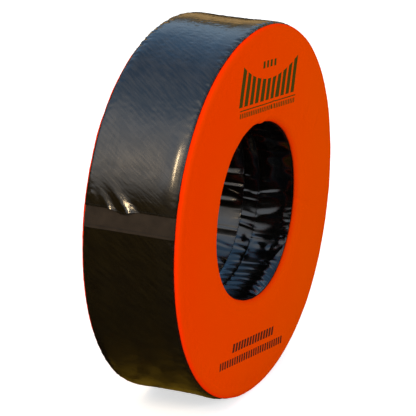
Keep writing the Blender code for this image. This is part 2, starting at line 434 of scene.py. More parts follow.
black_with_painted_field = add(tree, "ValToRGB", (threads,), stops=[(0.35, "#130e05"), (0.65, "#1b1507")])
height = add(tree, "SeparateXYZ", (add(tree, "TexCoord", output="Object"),), output="Z")
# Dust grows with height; the lower tread left without it is painted shade.
dust_and_shade_by_height = add(tree, "MapRange", {"Value": height, "From Min": DUST_AND_SHADE_FOOT, "From Max": DUST_AND_SHADE_FULL})
handled = add(tree, "MapRange", {"Value": height, "From Min": HANDS_LOW, "From Max": HANDS_HIGH,
                                 "To Min": 0.6, "To Max": 0.15})
smeared = add(tree, "MapRange", {"Value": smears, "From Min": 0.42, "From Max": 0.6,
                                 "To Max": handled})
lined = add(tree, "MapRange", {"Value": threads, "From Min": 0.38, "From Max": 0.64, "To Max": 0.4})
both = add(tree, "Math", (smeared, lined), operation="ADD")
dust_and_shade = add(tree, "Math", (dust_and_shade_by_height, both), operation="MULTIPLY")
colour = add(tree, "Mix", {0: dust_and_shade, 6: black_with_painted_field, 7: linear("#37322b")}, output=2, data_type="RGBA")
print(f"dust begins {DUST_AND_SHADE_FOOT:.2f} m above the ground")

# %% [markdown]
# The seam at the front pulls the cloth taut, so the relief of threads and smears fades from 65 mm
# away to nothing at 35 mm. Hands and turf have rubbed that edge a little duller.

# %% Relief and gloss of the black cloth
TAUT_FROM, TAUT_TO = 0.035, 0.065
RUBBED, KEPT_GLOSS = 0.155, 0.10

across = add(tree, "SeparateXYZ", (cloth_map,), output="Y")
edge = {"Value": across, "From Min": TAUT_FROM, "From Max": TAUT_TO}
rubbed = add(tree, "MapRange", {**edge, "To Min": RUBBED, "To Max": KEPT_GLOSS})
rough = add(tree, "Math", (cloudy, 0.12, rubbed), operation="MULTIPLY_ADD")
loose = add(tree, "MapRange", edge)
bump = add(tree, "Bump", {"Height": add(tree, "Math", (threads, loose), operation="MULTIPLY"),
                          "Strength": 0.38, "Distance": 0.0009})
bump = add(tree, "Bump", {"Height": add(tree, "Math", (smears, loose), operation="MULTIPLY"),
                          "Strength": 0.35, "Distance": 0.0012, "Normal": bump})
bump = add(tree, "Bump", {"Height": grain, "Strength": 0.12, "Distance": 0.0004, "Normal": bump})
surface(tree, shader, {"Base Color": colour, "Roughness": rough, "Normal": bump})
print("relief fades from", TAUT_TO * 1000, "to", TAUT_FROM * 1000, "mm from the front seam")

# %% [markdown]
# ### PVC-coated cloth, black and wet-looking
# The linings in the hole are the same cloth before it has been scuffed, so they are blacker and
# smoother than the tread, and no threads show. A faint crinkle, 17 mm across, is all their relief.

# %% Lining cloth
LINING_CLOUD = 0.03333
CRINKLE = 0.016667

lining_pvc, tree, shader = finish("black_pvc_lining_cloth", 0.12, PVC_IOR)
cloth_map = add(tree, "UVMap", uv_map="cloth")
cloudy = add(tree, "TexNoise", {"Vector": cloth_map, "Scale": 1 / LINING_CLOUD, "Detail": 3})
rough = add(tree, "Math", (cloudy, 0.1, 0.12), operation="MULTIPLY_ADD")
colour = add(tree, "ValToRGB", (cloudy,), stops=[(0.3, "#020202"), (0.7, "#050504")])
crinkle = add(tree, "TexNoise", {"Vector": cloth_map, "Scale": 1 / CRINKLE, "Detail": 2})
bump = add(tree, "Bump", {"Height": crinkle, "Strength": 0.06, "Distance": 0.001})
surface(tree, shader, {"Base Color": colour, "Roughness": rough, "Normal": bump})
print("made", lining_pvc.name)

# %% [markdown]
# ### PVC-coated cloth, orange, with a screen print
# The faces are the same kind of cloth in orange, with a duller roller finish, so the eye gets
# one strong colour and almost no shine. The print's place is given in a frame that is turned
# with the wheel, in shares of the rim's radius. Plain bars, dashes and a line stand there.

# %% Orange cloth and its print frame
PRINT_TILT = math.radians(8.6)
LOWER_TILT = math.radians(10)

orange_pvc, tree, shader = finish("orange_pvc_coated_cloth", 0.6, PVC_IOR, specular=0)
place = add(tree, "TexCoord", output="Object")
x, y, z = (add(tree, "SeparateXYZ", (place,), output=axis) for axis in "XYZ")
height = add(tree, "Math", (z, AXLE_Z), operation="SUBTRACT")
print("made", orange_pvc.name)

# %% [markdown]
# A row of bars is a product of comparisons: right of its start, left of its end, above its foot
# and below its top, and within the painted share of each step. That keeps the edges sharp at any
# size, which a painted picture wouldn't.

# %% How a row of bars is printed
def turned_frame(tilt):
    """Right and up on the face, in shares of the rim's radius."""
    axle = AXLE_Z / RIM
    turned = add(tree, "Mapping", {"Vector": place, "Rotation": (0, -tilt, 0), "Scale": (1 / RIM,) * 3,
                                   "Location": (axle * math.sin(tilt), 0, -axle * math.cos(tilt))})
    return [add(tree, "SeparateXYZ", (turned,), output=axis) for axis in "XZ"]


def inside(value, low, high):
    """1 where value is between low and high, as a product of two comparisons."""
    above = add(tree, "Math", (value, low), operation="GREATER_THAN")
    below = add(tree, "Math", (value, high), operation="LESS_THAN")
    return add(tree, "Math", (above, below), operation="MULTIPLY")


def bars(frame_of, right_range, up_range, count, share, slant=0.0, arch=0.0):
    """A row of slanted bars. arch lowers the tops of the outer ones, as a share of the radius."""
    right, up = frame_of
    low, high = right_range
    raised = add(tree, "Math", (up, up_range[0]), operation="SUBTRACT")
    lean = add(tree, "Math", (raised, -slant, right), operation="MULTIPLY_ADD")
    off = add(tree, "Math", (lean, (low + high) / 2), operation="SUBTRACT")
    squared = add(tree, "Math", (off, off), operation="MULTIPLY")
    arched = add(tree, "Math", (squared, arch / ((high - low) / 2) ** 2, up), operation="MULTIPLY_ADD")
    above = add(tree, "Math", (up, up_range[0]), operation="GREATER_THAN")
    below = add(tree, "Math", (arched, up_range[1]), operation="LESS_THAN")
    tall = add(tree, "Math", (above, below), operation="MULTIPLY")
    mask = add(tree, "Math", (inside(lean, low, high), tall), operation="MULTIPLY")
    if count == 1:
        return mask
    run = add(tree, "Math", (lean, low), operation="SUBTRACT")
    number = add(tree, "Math", (run, count / (high - low)), operation="MULTIPLY")
    phase = add(tree, "Math", (number,), operation="FRACT")
    painted = add(tree, "Math", (phase, share), operation="LESS_THAN")
    return add(tree, "Math", (mask, painted), operation="MULTIPLY")


# %% The print
FACE_FRONT = -0.9 * HALF

# Each row: its frame, reach to the right, reach up, number of bars, and painted share of a step.
top_frame, low_frame = turned_frame(PRINT_TILT), turned_frame(LOWER_TILT)
rows = [
    bars(top_frame, (-0.39, 0.347), (0.602, 0.715), 11, 0.66, slant=0.16, arch=-0.095),
    bars(top_frame, (-0.11, 0.08), (0.775, 0.812), 4, 0.55),
    bars(top_frame, (-0.374, 0.350), (0.580, 0.586), 1, 1),
    bars(top_frame, (-0.370, 0.350), (0.544, 0.570), 31, 0.55),
    bars(low_frame, (-0.250, 0.295), (-0.715, -0.668), 15, 0.68, slant=0.15),
    bars(low_frame, (-0.400, 0.430), (-0.786, -0.744), 27, 0.62),
]
ink = rows[0]
for row in rows[1:]:
    ink = add(tree, "Math", (ink, row), operation="MAXIMUM")
on_front = add(tree, "Math", (y, FACE_FRONT), operation="LESS_THAN")
ink = add(tree, "Math", (ink, on_front), operation="MULTIPLY")
print(len(rows), "printed rows")

# %% [markdown]
# The orange has paled a little and unevenly, in patches of 0.2 m. To the right and low down it is
# painted darker and yellower: painted shade, with a painted warm reflection of the field. Where
# the cloth rolls over the foam its colour is painted a brighter red, a painted highlight, more at
# the rim than at the lip. The ink is a thin layer, so the orange under it warms its colour, most
# below the axle. The roller's grain is drawn at 2.4 mm.

# %% The orange under the print
FADE_PATCH = 0.2
ORANGE_GRAIN = 0.002381
ROLL_DEEP, ROLL_START = HALF - 0.60 * ROUNDING, HALF - 0.22 * ROUNDING
LIP_HIGHLIGHT = 0.55

cloudy = add(tree, "TexNoise", {"Vector": place, "Scale": 1 / FADE_PATCH, "Detail": 4})
fade_and_painted_shade = add(tree, "Math", (cloudy, 0.3, 0.35), operation="MULTIPLY_ADD")
# Darker and yellower to the right and low down: painted shade and a painted reflection of the field.
fade_and_painted_shade = add(tree, "Math", (x, 0.5, fade_and_painted_shade), operation="MULTIPLY_ADD")
fade_and_painted_shade = add(tree, "Math", (height, -0.25, fade_and_painted_shade), operation="MULTIPLY_ADD")
orange_with_painted_shade = add(tree, "ValToRGB", (fade_and_painted_shade,), stops=[(0.2, "#da3800"), (0.8, "#d54500")])
squared = add(tree, "Math", (x, x), operation="MULTIPLY")
squared = add(tree, "Math", (height, height, squared), operation="MULTIPLY_ADD")
outer = add(tree, "Math", (squared, 0.5 * RIM ** 2), operation="GREATER_THAN")
depth = add(tree, "Math", (y,), operation="ABSOLUTE")
# The roll is painted a brighter red, a painted highlight, full at the rim and 0.55 of it at the lip.
roll = add(tree, "MapRange", {"Value": depth, "From Min": ROLL_DEEP, "From Max": ROLL_START,
                              "To Min": 1.0, "To Max": 0.0})
roll_highlight_share = add(tree, "Math", (outer, 1 - LIP_HIGHLIGHT, LIP_HIGHLIGHT), operation="MULTIPLY_ADD")
roll_highlight = add(tree, "Math", (roll, roll_highlight_share), operation="MULTIPLY")
orange_with_highlight = add(tree, "Mix", {0: roll_highlight, 6: orange_with_painted_shade, 7: linear("#f03000")}, output=2,
             data_type="RGBA")
above_axle = add(tree, "Math", (height, 0.0), operation="GREATER_THAN")
ink_colour = add(tree, "Mix", {0: above_axle, 6: linear("#4d2214"), 7: linear("#40380f")},
                 output=2, data_type="RGBA")
inked = add(tree, "Mix", {0: ink, 6: orange_with_highlight, 7: ink_colour}, output=2, data_type="RGBA")
grain = add(tree, "TexNoise", {"Vector": place, "Scale": 1 / ORANGE_GRAIN, "Detail": 2})
bump = add(tree, "Bump", {"Height": grain, "Strength": 0.15, "Distance": 0.0004})
surface(tree, shader, {"Base Color": inked, "Normal": bump})
print(f"the red is full {(HALF - ROLL_DEEP) * 1000:.0f} mm down the roll")

# %% [markdown]
# ### Tapes and thread
# Loop tape is knitted nylon with a brushed pile. It has no gloss at all, so beside the coated
# cloth it looks grey-brown, with the soft speckle of its pile. Hook tape is a stiff weave full
# of small hooks, 2 mm apart, which the eye sees as a fine dark grit. Bonded polyester thread has
# a slight sheen, so that a stitch catches the light, and its twist repeats every millimetre.

# %% Nylon tapes and polyester thread
PILE_TUFT = 0.002381
PILE_PATCH = 0.041667
HOOK_PITCH = 0.002
THREAD_TWIST = 0.0011111

loop_pile, tree, shader = finish("nylon_loop_tape", 0.95, specular=0.2)
cloth_map = add(tree, "UVMap", uv_map="cloth")
pile = add(tree, "TexNoise", {"Vector": cloth_map, "Scale": 1 / PILE_TUFT, "Detail": 3})
soft = add(tree, "TexNoise", {"Vector": cloth_map, "Scale": 1 / PILE_PATCH, "Detail": 2})
both = add(tree, "Math", (pile, 0.5), operation="MULTIPLY")
both = add(tree, "Math", (soft, 0.5, both), operation="MULTIPLY_ADD")
colour = add(tree, "ValToRGB", (both,), stops=[(0.35, "#241d16"), (0.65, "#332a21")])
bump = add(tree, "Bump", {"Height": pile, "Strength": 0.6, "Distance": 0.001})
surface(tree, shader, {"Base Color": colour, "Normal": bump})

hook_nylon, tree, shader = finish("nylon_hook_tape", 0.7)
cloth_map = add(tree, "UVMap", uv_map="cloth")
hooks = add(tree, "TexVoronoi", {"Vector": cloth_map, "Scale": 1 / HOOK_PITCH})
colour = add(tree, "ValToRGB", (hooks,), stops=[(0.2, "#1c1c1d"), (0.7, "#0a0a0a")])
bump = add(tree, "Bump", {"Height": hooks, "Strength": 0.7, "Distance": 0.001})
surface(tree, shader, {"Base Color": colour, "Normal": bump})

thread, tree, shader = finish("polyester_thread", 0.7, specular=0.25)
place = add(tree, "TexCoord", output="Object")
twist = add(tree, "TexNoise", {"Vector": place, "Scale": 1 / THREAD_TWIST, "Detail": 1})
colour = add(tree, "ValToRGB", (twist,), stops=[(0.3, "#0b0b0b"), (0.7, "#171717")])
surface(tree, shader, {"Base Color": colour})
print("made", loop_pile.name, hook_nylon.name, thread.name)

# %% [markdown]
# ### Foam
# The core is charcoal polyurethane foam, soft and open-celled, which scatters light in its
# pores and looks quite matt. The hoop round the hole is closed-cell foam, finer and a little
# darker. The real cells are under a millimetre, and they are drawn at 3.2 and 2 mm.

# %% Foams
def foam(name, cell, dark, light):
    made, tree, shader = finish(name, 0.95, 1.4, specular=0.2)
    place = add(tree, "TexCoord", output="Object")
    cells = add(tree, "TexVoronoi", {"Vector": place, "Scale": 1 / cell})
    colour = add(tree, "ValToRGB", (cells,), stops=[(0.1, dark), (0.6, light)])
    bump = add(tree, "Bump", {"Height": cells, "Strength": 0.5, "Distance": 0.001})
    surface(tree, shader, {"Base Color": colour, "Normal": bump})
    return made


soft_foam = foam("soft_polyurethane_foam", 0.0032, "#3a3b3d", "#56585a")
firm_foam = foam("closed_cell_foam", 0.0020, "#2b2c2e", "#3c3e40")
print("made", soft_foam.name, firm_foam.name)

# %% [markdown]
# ## The cover's folds
# Cloth that is sewn round a curve is gathered a little by its own stitches. Short ridges and
# hollows run from the seam into the cloth, at right angles to the seam, some long, most short.
# They are drawn one by one from a seeded list, and each starts at nothing on the seam itself,
# because there both cloths share one line.

# %% Grooves, puckers, ripples and ridges
# Widths, heights and reaches of the puckers are drawn at random, as shares of the ones given.
GROOVE_DEPTH = 0.0045
GROOVE_WIDTH = 0.0032
PUCKER_START = 0.0035
FOLD_REACH = 0.42


def groove(distance, depth=GROOVE_DEPTH):
    """How far the seam pulls the cloth in, at a distance from it."""
    return -depth * np.exp(-distance / GROOVE_WIDTH)


def puckers(clock, distance, radius, seed, spacing=0.016, height=0.0011, reach=0.020):
    """Ridges and hollows that run from a seam into the cloth."""
    rng = np.random.default_rng(seed)
    count = int(TURN * radius / spacing)
    centres = (np.arange(count) + rng.uniform(-0.45, 0.45, count)) * TURN / count
    widths = rng.uniform(0.22, 0.5, count) * spacing
    reaches = reach * rng.lognormal(-0.2, 0.7, count)
    heights = height * rng.uniform(0.15, 1.0, count) * rng.choice([-1, 1], count)
    leans = rng.normal(0, 0.25, count)
    clock, distance = np.broadcast_arrays(clock, np.maximum(distance, 0))
    total = np.zeros(clock.shape)
    for c, w, r, h, lean in zip(centres, widths, reaches, heights, leans):
        off = ((clock[:, 0] - c + math.pi) % TURN - math.pi) * radius
        near = np.abs(off) < 4 * w + 0.06
        o = ((clock[near] - c + math.pi) % TURN - math.pi) * radius - lean * distance[near]
        total[near] += h * np.exp(-(o / w) ** 2 - (distance[near] / r) ** 1.5)
    return total * (1 - np.exp(-distance / PUCKER_START))


def ripple(clock, across, seed, cycles, length, count=14):
    """A smooth random unevenness of about -1 to 1. cycles gives the waves round the wheel."""
    rng = np.random.default_rng(seed)
    total = 0
    for _ in range(count):
        k = rng.integers(*cycles)
        total = total + np.cos(k * clock + rng.normal(0, 1 / length) * across
                               + rng.uniform(0, TURN))
    return total / math.sqrt(count * 2)


def ridge(x, y, start, end, height, width):
    """A single fold from start to end on flat cloth, in metres, thin and low at both ends."""
    start, end = np.array(start), np.array(end)
    run = end - start
    share = ((x - start[0]) * run[0] + (y - start[1]) * run[1]) / (run @ run)
    off = ((x - start[0]) * run[1] - (y - start[1]) * run[0]) / math.hypot(*run)
    return height * np.exp(-(off / width) ** 2 - ((share - 0.5) / FOLD_REACH) ** 4)


print(f"a seam pulls the cloth in by {GROOVE_DEPTH * 1000:.1f} mm")

# %% [markdown]
# ## Loose cloth, by simulation
# Between its seams the cover is cut slightly too large, so it has to wrinkle. The cloth modifier
# finds those wrinkles: each seam column is pinned, the cloth between is let grow by a few
# percent, and a little pressure from the foam keeps it off the wheel. Twenty frames are enough
# for the wrinkles to form.

# %% The cloth modifier's settings
CLOTH_FRAMES = 20


def cloth_settings(modifier, excess, pressure):
    settings = modifier.settings
    settings.quality = 5
    settings.mass = 0.3
    settings.tension_stiffness = settings.compression_stiffness = 15
    settings.shear_stiffness = 5
    settings.bending_stiffness = 0.5
    settings.pin_stiffness = 1
    settings.vertex_group_mass = "sewn"
    settings.vertex_group_shrink = "tight"
    settings.shrink_min = -excess
    settings.shrink_max = 0
    settings.use_pressure = pressure > 0
    settings.uniform_pressure_force = pressure
    settings.effector_weights.gravity = 0
    modifier.point_cache.frame_start = 1
    modifier.point_cache.frame_end = CLOTH_FRAMES


print("cloth settles in", CLOTH_FRAMES, "frames")

# %% [markdown]
# The wrinkles are found on every second row of the grid, and the rows between are filled in by a
# smooth curve. The same wrinkles are then read at more columns or other clock angles.

# %% From the loose grid to the drawn one
def smoothed(field, sewn, times):
    """Thicker cloth makes broader folds: each point moves towards its neighbours' mean."""
    for _ in range(times):
        field = (2 * field + np.roll(field, 1, axis=0) + np.roll(field, -1, axis=0)) / 4
        wide = np.concatenate([field[:, :1], field, field[:, -1:]], axis=1)
        field = (2 * field + wide[:, :-2] + wide[:, 2:]) / 4 * (1 - sewn)[:, None]
    return field


def between_rows(field):
    """A ring's rows with a smooth new one after each, through the four rows nearest to it."""
    ahead, behind = np.roll(field, -1, axis=0), np.roll(field, 1, axis=0)
    new = (9 * (field + ahead) - behind - np.roll(field, -2, axis=0)) / 16
    return np.stack([field, new], axis=1).reshape(2 * len(field), *field.shape[1:])


def over_columns(field, loose, drawn):
    """A field on the loose columns, read at the drawn ones."""
    at = np.interp(drawn, loose, np.arange(len(loose)))
    low = np.minimum(at.astype(int), len(loose) - 2)
    share = (at - low)[:, None]
    return field[:, low] * (1 - share) + field[:, low + 1] * share


def at_clock(field, clock):
    """A field on the full ring of rows, read at other clock angles, column by column."""
    at = clock % TURN / TURN * len(field)
    low = np.floor(at).astype(int)
    share = (at - low)[..., None]
    column = np.arange(field.shape[1])
    return field[low % len(field), column] * (1 - share) + field[(low + 1) % len(field), column] * share


def near_seams(steps, seams, reach, floor):
    """1 beside a seam, falling to floor over the given reach."""
    away = np.abs(steps[:, None] - np.array(seams)).min(axis=1)
    return floor + (1 - floor) * np.exp(-away / reach)


print("450 loose rows become", len(between_rows(np.zeros((450, 1)))))

# %% [markdown]
# A tiny random unevenness starts the wrinkles. Each point's movement is kept, capped, and hardly
# pressed into the foam.

# %% Simulated looseness
START_UNEVEN = 0.0004
INTO_FOAM = 0.0012


def loosened(points, normals, sewn, slack, excess, pressure, cap, seed, smooth=0):
    """How the cloth moves. sewn and slack hold a value from 0 to 1 for each column."""
    n, m = points.shape[:2]
    rng = np.random.default_rng(seed)
    start = points + normals * (rng.normal(0, START_UNEVEN, (n, m)) * (1 - sewn))[..., None]
    faces = grid_faces(n, m, True)[0]
    piece = mesh_of("loose_cloth", start, faces, black_pvc)
    middle = piece.data.polygons[len(faces) // 2]
    if np.array(middle.normal) @ normals.reshape(-1, 3)[faces[len(faces) // 2][0]] < 0:
        piece.data.flip_normals()
    groups = {name: piece.vertex_groups.new(name=name) for name in ("sewn", "tight")}
    for column in range(m):
        at = (np.arange(n) * m + column).tolist()
        groups["tight"].add(at, float(1 - slack[column]), "REPLACE")
        if sewn[column] > 0:
            groups["sewn"].add(at, float(sewn[column]), "REPLACE")
    cloth_settings(piece.modifiers.new("cloth", "CLOTH"), excess, pressure)
    for number in range(1, CLOTH_FRAMES + 1):
        scene.frame_set(number)
    settled = piece.evaluated_get(bpy.context.evaluated_depsgraph_get()).to_mesh()
    flat = np.empty(n * m * 3)
    settled.vertices.foreach_get("co", flat)
    bpy.data.objects.remove(piece)
    scene.frame_set(1)
    move = smoothed(flat.reshape(n, m, 3) - points, sewn, smooth)
    out = (move * normals).sum(axis=-1, keepdims=True)
    move += normals * (np.maximum(out, -INTO_FOAM) - out)
    size = np.linalg.norm(move, axis=-1, keepdims=True)
    move *= np.minimum(1, cap / np.maximum(size, 1e-9))
    found = size.max() * 1000
    print(f"loosened {n} x {m}: up to {found:.1f} mm, kept {min(cap * 1000, found):.1f}")
    return between_rows(move)


print("cloth is pressed into the foam by at most", INTO_FOAM * 1000, "mm")

# %% [markdown]
# ## The faces
# One flat ring of cloth covers each side. It rolls over the foam's rounded rim to the tread's
# seam, and over a rounder lip into the hole. The back one is taken as the front one's mirror
# image, so it uses the same simulated looseness. Less of the back one shows past the tread in
# the photograph, so its seam lies further round the roll.

# %% The path of a face, and its looseness
RIM_ROLL = (0.024, ROUNDING)
LIP_ROLL = (0.030, LIP)
QUARTER = math.pi / 2
FACE_PATH = bend(RIM - RIM_ROLL[0], -SEAM, RIM_ROLL, 0, -QUARTER)
FACE_PATH += bend(BORE + LIP_ROLL[0], -LIP_SEAM, LIP_ROLL, -QUARTER, -math.pi)
FACE_LENGTH = path_length(FACE_PATH)
FACE_STEP = 0.007
FACE_LOOSE = columns([0, FACE_LENGTH], FACE_STEP, OVER_ROLL)[0]

face_points = placed(LOOSE_CLOCK, *along(FACE_PATH, FACE_LOOSE))
face_normals = normals_of(face_points, True, np.array((0, -1.0, 0)))
face_move = loosened(
    face_points, face_normals,
    sewn=np.isin(FACE_LOOSE, (FACE_LOOSE[0], FACE_LOOSE[-1])).astype(float),
    slack=near_seams(FACE_LOOSE, (0, FACE_LENGTH), 0.022, 0.05),
    excess=0.03, pressure=2, cap=0.003, seed=5)

# %% [markdown]
# A few creases show in the photograph: a hooked one above the hole, a faint upright one over
# it, some beside the hole's upper right edge, a dimple at its right, and a nick at the left rim.
# Each runs between two points on the face, in metres right of the axle and above it.

# %% Creases on the front face
# Start, end, height (a hollow where it is below 0) and width.
CREASES = [
    ((0.005, 0.285), (0.070, 0.305), 0.0040, 0.007),
    ((0.060, 0.298), (0.096, 0.345), -0.0040, 0.008),
    ((0.090, 0.315), (0.112, 0.420), -0.0026, 0.010),
    ((0.300, 0.200), (0.345, 0.262), 0.0018, 0.006),
    ((0.335, 0.180), (0.392, 0.250), -0.0018, 0.007),
    ((0.385, 0.130), (0.452, 0.205), 0.0016, 0.008),
    ((0.290, -0.050), (0.410, -0.108), -0.0040, 0.012),
    ((-0.598, 0.226), (-0.540, 0.212), -0.0024, 0.008),
    ((-0.350, -0.300), (-0.250, -0.420), -0.0012, 0.020),
]
print(len(CREASES), "creases")

# %% [markdown]
# Each seam pulls the cloth in, so a groove runs along it, with the gathers across it. The
# simulated looseness fades in over the first 20 mm from the rim's seam.

# %% The two face covers
FADE_IN = 0.02
BACK_WRAP = math.radians(38)
BACK_SEAM = path_length(bend(0, 0, RIM_ROLL, 0, BACK_WRAP))


def face_cover(name, side, seam_at, seed, creases=()):
    """side is -1 for the front and 1 for the back. seam_at is how far down the roll it is sewn."""
    drawn = columns([seam_at, FACE_LENGTH], FACE_STEP, OVER_ROLL)[1]
    flip = np.array((1, -side, 1))
    move = over_columns(face_move, FACE_LOOSE, drawn)
    move = move * np.clip((drawn - seam_at) / FADE_IN, 0, 1)[:, None]
    points = (placed(FULL_CLOCK, *along(FACE_PATH, drawn)) + move) * flip
    facing = np.array((0, float(side), 0))
    normals = normals_of(points, True, facing)
    from_rim, from_lip = drawn - seam_at, FACE_LENGTH - drawn
    push = groove(from_rim) + groove(from_lip)
    push = push + puckers(FULL_CLOCK, from_rim[None], RIM, seed, height=0.0008, reach=0.016)
    push = push + puckers(FULL_CLOCK, from_lip[None], BORE, seed + 1, height=0.0007, reach=0.018)
    push = push + 0.0005 * ripple(FULL_CLOCK, drawn, seed + 2, (3, 30), 0.08)
    for start, end, height, width in creases:
        push = push + ridge(points[..., 0], points[..., 2] - AXLE_Z, start, end, height, width)
    points = points + normals * push[..., None]
    return sheet_of(name, points, normals_of(points, True, facing), VINYL, True, orange_pvc,
                    drawn, TURN * RIM)


front_cover = face_cover("front_face_cover", -1, 0, 11, CREASES)
back_cover = face_cover("back_face_cover", 1, BACK_SEAM, 31)
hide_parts("front_face_panel")
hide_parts("back_face_panel")
print(f"the back seam lies {BACK_SEAM * 1000:.0f} mm down the roll")

# %% [markdown]
# ## The tread
# A straight band of black cloth goes round the rim. Its lower end dips in under the closure, and
# its upper end is the flap that closes it. Both are cut from one loosened ring, so that their
# folds run on from one to the other.

# %% The tread's looseness
TREAD_PATH = [(RIM, -SEAM)] + bend(RIM - RIM_ROLL[0], SEAM, RIM_ROLL, 0, BACK_WRAP)
TREAD_WIDTH = path_length(TREAD_PATH)
TREAD_LOOSE, TREAD_DRAWN = columns([0, TREAD_WIDTH], 0.0075, (*BESIDE_SEAM, 0.011, 0.015, 0.02))
TREAD_RADIUS, TREAD_DEPTH = along(TREAD_PATH, TREAD_DRAWN)
FROM_SEAM = np.minimum(TREAD_DRAWN, TREAD_WIDTH - TREAD_DRAWN)[None]

tread_points = placed(LOOSE_CLOCK, *along(TREAD_PATH, TREAD_LOOSE))
tread_normals = normals_of(tread_points, True, outward(tread_points))
tread_move = loosened(
    tread_points, tread_normals,
    sewn=np.isin(TREAD_LOOSE, (TREAD_LOOSE[0], TREAD_LOOSE[-1])).astype(float),
    slack=near_seams(TREAD_LOOSE, (0, TREAD_WIDTH), 0.022, 0.02),
    excess=0.04, pressure=3, cap=0.004, seed=6)
tread_move = over_columns(tread_move, TREAD_LOOSE, TREAD_DRAWN)
print(f"tread {TREAD_WIDTH:.3f} m from seam to seam")

# %% [markdown]
# The closure has a few folds of its own. The flap's free edge bows out between the places where
# its tape grips, and one long fold runs beside the front seam above it. Their places are clock
# angles in degrees and depths in metres, read off the photograph. Just above the closure the
# tape holds the cloth so smooth that hardly any gathers or looseness are left.

# %% The tread's surface at any clock angle
CLOSURE_MIDDLE = math.radians(299)
CLOSURE_REACH = math.radians(15)
GATHERS_HELD = 0.97
LOOSENESS_HELD = 0.98
# A bow's depth at the edge, half width, height, reach up the flap, and lean to the back.
FLAP_BOWS = [(0.006, 0.020, 0.0082, 0.029, 0.95), (0.068, 0.014, 0.0050, 0.028, 0.80),
             (0.120, 0.012, 0.0012, 0.030, 0.30), (-0.075, 0.020, 0.0006, 0.030, 0)]
TREAD_FOLDS = [((313.0, -0.1140), (287.0, -0.1150), 0.0034, 0.020),
               ((290.5, 0.140), (286.0, 0.104), 0.0008, 0.007),
               ((292.0, 0.128), (287.5, 0.136), 0.0006, 0.005),
               ((279.2, -0.134), (277.2, -0.144), -0.0030, 0.005)]
FREE_EDGE = FLAP[0][0]
BOWED_ROWS = 2.5


def at_closure(clock):
    """1 just above the closure, where the tape holds the cloth smooth, and 0 far from it."""
    return np.exp(-((clock % TURN - CLOSURE_MIDDLE) / CLOSURE_REACH) ** 4)


def tread_push(clock):
    gathers = puckers(clock, TREAD_DRAWN[None], RIM, 51, 0.018, 0.0016, 0.020)
    gathers = gathers + puckers(clock, TREAD_WIDTH - TREAD_DRAWN[None], RIM, 52, 0.024, 0.0016, 0.024)
    push = groove(FROM_SEAM) + (1 - GATHERS_HELD * at_closure(clock)) * gathers
    for (c0, d0), (c1, d1), height, width in TREAD_FOLDS:
        ends = (math.radians(c0) * RIM, d0), (math.radians(c1) * RIM, d1)
        push = push + ridge(clock % TURN * RIM, TREAD_DEPTH, *ends, height, width)
    return push + 0.0006 * ripple(clock, TREAD_DRAWN, 53, (3, 18), 0.12)


def flap_bow(clock):
    """How far the flap's free edge bows out."""
    past = np.maximum(clock % TURN - FREE_EDGE, 0) * RIM
    return sum(h * np.exp(-((TREAD_DEPTH - d - lean * past) / w) ** 2 - past / reach)
               for d, w, h, reach, lean in FLAP_BOWS)


def tread_strip(name, start, stop, lift, material, thickness=VINYL, bowed=False, rows=()):
    """A stretch of the tread between two clock angles. stop may differ by column, and rows adds rows."""
    span = np.broadcast_to(stop - start, TREAD_DEPTH.shape)
    count = max(8, int(abs(span).max() / TURN * ROUND_STEPS * (BOWED_ROWS if bowed else 1)))
    shares = np.union1d(np.linspace(0, 1, count), (np.array(rows) - start) / span[0])
    clock = start + shares[:, None] * span
    loose = (1 - LOOSENESS_HELD * at_closure(clock))[..., None] * at_clock(tread_move, clock)
    points = placed(clock, TREAD_RADIUS, TREAD_DEPTH) + loose
    normals = normals_of(points, False, outward(points))
    push = tread_push(clock) + lift(clock)
    if bowed:
        push = push + flap_bow(clock)
    points = points + normals * push[..., None]
    points[..., 2] = np.maximum(points[..., 2], 0)
    return sheet_of(name, points, normals_of(points, False, outward(points)), thickness, False,
                    material, TREAD_DRAWN, math.copysign(abs(span).max() * RIM, span[0])), points


print(len(FLAP_BOWS), "bows and", len(TREAD_FOLDS), "folds at the closure")

# %% [markdown]
# Looseness must not push the band through the tape or the flap that lie over it. So under the
# closure everything is a stack: each layer adds its own height to the same surface. The band
# dips under the tape's edge within 4 mm, the tape stands a millimetre proud there, and the flap
# lies over both.

# %% The closure's stack
DIP = RIM - TAPE[1][0]
DIP_RUN = 0.0015 / RIM, 0.004 / RIM
DIP_ROUNDED = 0.0009 / RIM
TAPE_PROUD = 0.0008
TAPE_EDGE = 0.0010
EDGE_OFF = math.radians(0.35)
EDGE_DIP = math.radians(1.15)
EDGE_DIP_AT, EDGE_DIP_WIDTH = 0.028, 0.027


def dipping(clock):
    """The band lies level from the flap's root, below 0, up to the tape, and dips under it."""
    return np.interp(clock, TAPE[0][0] + np.array(DIP_RUN), (0, -DIP))


def flap_rise(clock):
    return np.interp(clock, (TAPE[0][1], ROOT), (FLAP[1][1] - RIM, 0))


def tape_rise(clock):
    """The tape's sewn edge stands proud of the band, and the flap presses the rest in."""
    return np.interp(clock, (TAPE[0][0], FREE_EDGE), (TAPE_EDGE, TAPE[1][1] - RIM + TAPE_PROUD))


def free_edge(depth):
    """The flap's edge isn't cut quite straight: it dips by 12 mm near the middle."""
    dip = EDGE_DIP * np.exp(-((depth - EDGE_DIP_AT) / EDGE_DIP_WIDTH) ** 2)
    return FREE_EDGE + EDGE_OFF - dip


print(f"the band dips by {DIP * 1000:.1f} mm under the tape")

# %% [markdown]
# The cover of the band begins 12 mm past the flap's root, where the flap's cloth ends, so that
# the flap can bend there. It ends 8 mm past the loop tape's upper edge. The hook tape starts
# behind a hem of 4 mm.

# %% Tread cover, flap and tapes
BEND_AFTER = 0.012 / RIM
HEM = 0.004 / RIM
BAND_PAST_TAPE = 0.008 / RIM

